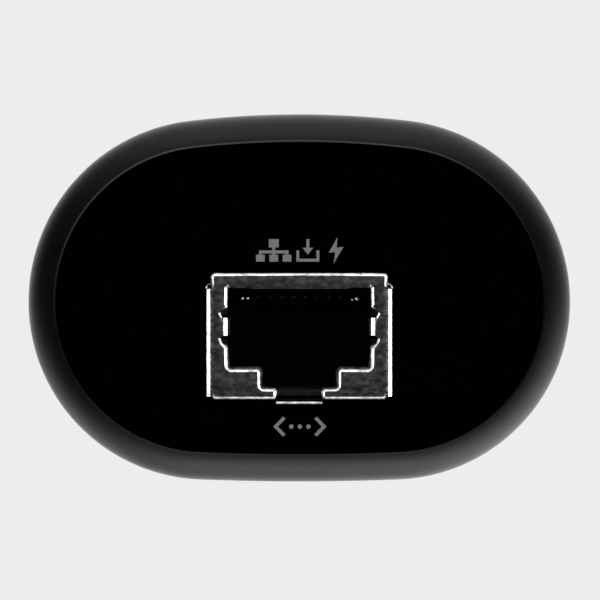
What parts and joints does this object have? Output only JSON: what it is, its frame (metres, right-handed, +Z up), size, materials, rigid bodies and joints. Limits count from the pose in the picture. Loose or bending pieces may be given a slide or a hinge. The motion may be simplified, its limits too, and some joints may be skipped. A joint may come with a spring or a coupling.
{
  "type": "mesh wifi node",
  "caption": "Slim oval mesh Wi-Fi node with a network socket in its lower end, a rear pad for a strap or wall, and two screw-on antennas that swivel and fold.",
  "frame": {"origin": "centre of the flat outer face of the rear mounting pad", "axes": "+Z up along the upright antennas, +Y out of the rear pad towards the wall or pole, front towards -Y, network socket in the lower end towards -Z"},
  "size_m": [0.046, 0.0344, 0.353],
  "materials": {
    "casing": "satin, very fine grain",
    "end_plate": "smooth deep black",
    "seal": "matte",
    "black_plastic": "satin",
    "steel": "bright, plated",
    "tinned_can": "tinned",
    "nickel": "nickel-plated brass",
    "gold": "gold-plated",
    "copper": "copper",
    "aluminium": "satin",
    "board": "green solder mask",
    "chip": "moulded epoxy",
    "light_guide": "clear, slightly frosted",
    "coax": "translucent brown jacket"
  },
  "bodies": {
    "casing": {"main_sleeve": "casing", "top_cap": "casing", "bottom_cap": "end_plate", "top_seal": "seal", "bottom_seal": "seal", "rear_mounting_pad": "casing", "pad_screw_lower": "steel", "pad_screw_upper": "steel", "status_light_guide": "light_guide", "badge_disc": "casing", "jack_shield": "steel", "jack_housing": "black_plastic", "jack_contact_1": "gold", "jack_contact_2": "gold", "jack_contact_3": "gold", "jack_contact_4": "gold", "jack_contact_5": "gold", "jack_contact_6": "gold", "jack_contact_7": "gold", "jack_contact_8": "gold", "main_board": "board", "chassis_tray": "black_plastic", "board_screw_lower": "steel", "board_screw_upper": "steel", "network_transformer": "chip", "power_transformer": "copper", "bulk_capacitor": "aluminium", "power_inductor": "chip", "processor_chip": "chip", "memory_chip": "chip", "heat_spreader": "aluminium", "radio_can_low_band": "tinned_can", "radio_can_high_band": "tinned_can", "status_light_chip": "light_guide", "reset_switch": "steel", "left_connector_body": "nickel", "left_connector_pin": "gold", "left_connector_nut": "nickel", "left_antenna_lead": "coax", "right_connector_body": "nickel", "right_connector_pin": "gold", "right_connector_nut": "nickel", "right_antenna_lead": "coax"},
    "reset": {"reset_button": "black_plastic"},
    "left_plug": {"left_plug_ferrule": "nickel"},
    "left_nut": {"left_coupling_nut": "nickel"},
    "left_knuckle": {"left_knuckle_base": "casing", "left_hinge_pin": "steel"},
    "left_mast": {"left_mast_foot": "casing", "left_mast_tube": "casing", "left_radiating_element": "copper"},
    "right_plug": {"right_plug_ferrule": "nickel"},
    "right_nut": {"right_coupling_nut": "nickel"},
    "right_knuckle": {"right_knuckle_base": "casing", "right_hinge_pin": "steel"},
    "right_mast": {"right_mast_foot": "casing", "right_mast_tube": "casing", "right_radiating_element": "copper"}
  },
  "joints": [
    {"name": "reset_press", "type": "slide", "parent": "casing", "child": "reset", "axis": [0, -1, 0], "range_m": [0, 0.0005], "stiffness_N_per_m": 500},
    {"name": "left_plug_lift", "type": "slide", "parent": "casing", "child": "left_plug", "axis": [0, 0, 1], "range_m": [0, 0.00635]},
    {"name": "left_nut_turn", "type": "hinge", "parent": "left_plug", "child": "left_nut", "pos_m": [-0.0115, -0.01848, 0.042], "axis": [0, 0, 1], "range_deg": [0, 3240]},
    {"name": "left_swivel", "type": "hinge", "parent": "left_plug", "child": "left_knuckle", "pos_m": [-0.0115, -0.01848, 0.05], "axis": [0, 0, 1], "range_deg": [-90, 90]},
    {"name": "left_fold", "type": "hinge", "parent": "left_knuckle", "child": "left_mast", "pos_m": [-0.0115, -0.01848, 0.0605], "axis": [0, -1, 0], "range_deg": [0, 90]},
    {"name": "right_plug_lift", "type": "slide", "parent": "casing", "child": "right_plug", "axis": [0, 0, 1], "range_m": [0, 0.00635]},
    {"name": "right_nut_turn", "type": "hinge", "parent": "right_plug", "child": "right_nut", "pos_m": [0.0115, -0.01848, 0.042], "axis": [0, 0, 1], "range_deg": [0, 3240]},
    {"name": "right_swivel", "type": "hinge", "parent": "right_plug", "child": "right_knuckle", "pos_m": [0.0115, -0.01848, 0.05], "axis": [0, 0, 1], "range_deg": [-90, 90]},
    {"name": "right_fold", "type": "hinge", "parent": "right_knuckle", "child": "right_mast", "pos_m": [0.0115, -0.01848, 0.0605], "axis": [0, 1, 0], "range_deg": [0, 90]}
  ],
  "couplings": [
    {"joint": "left_nut_turn", "follows": "left_plug_lift", "rad_per_m": 8905},
    {"joint": "right_nut_turn", "follows": "right_plug_lift", "rad_per_m": 8905}
  ]
}
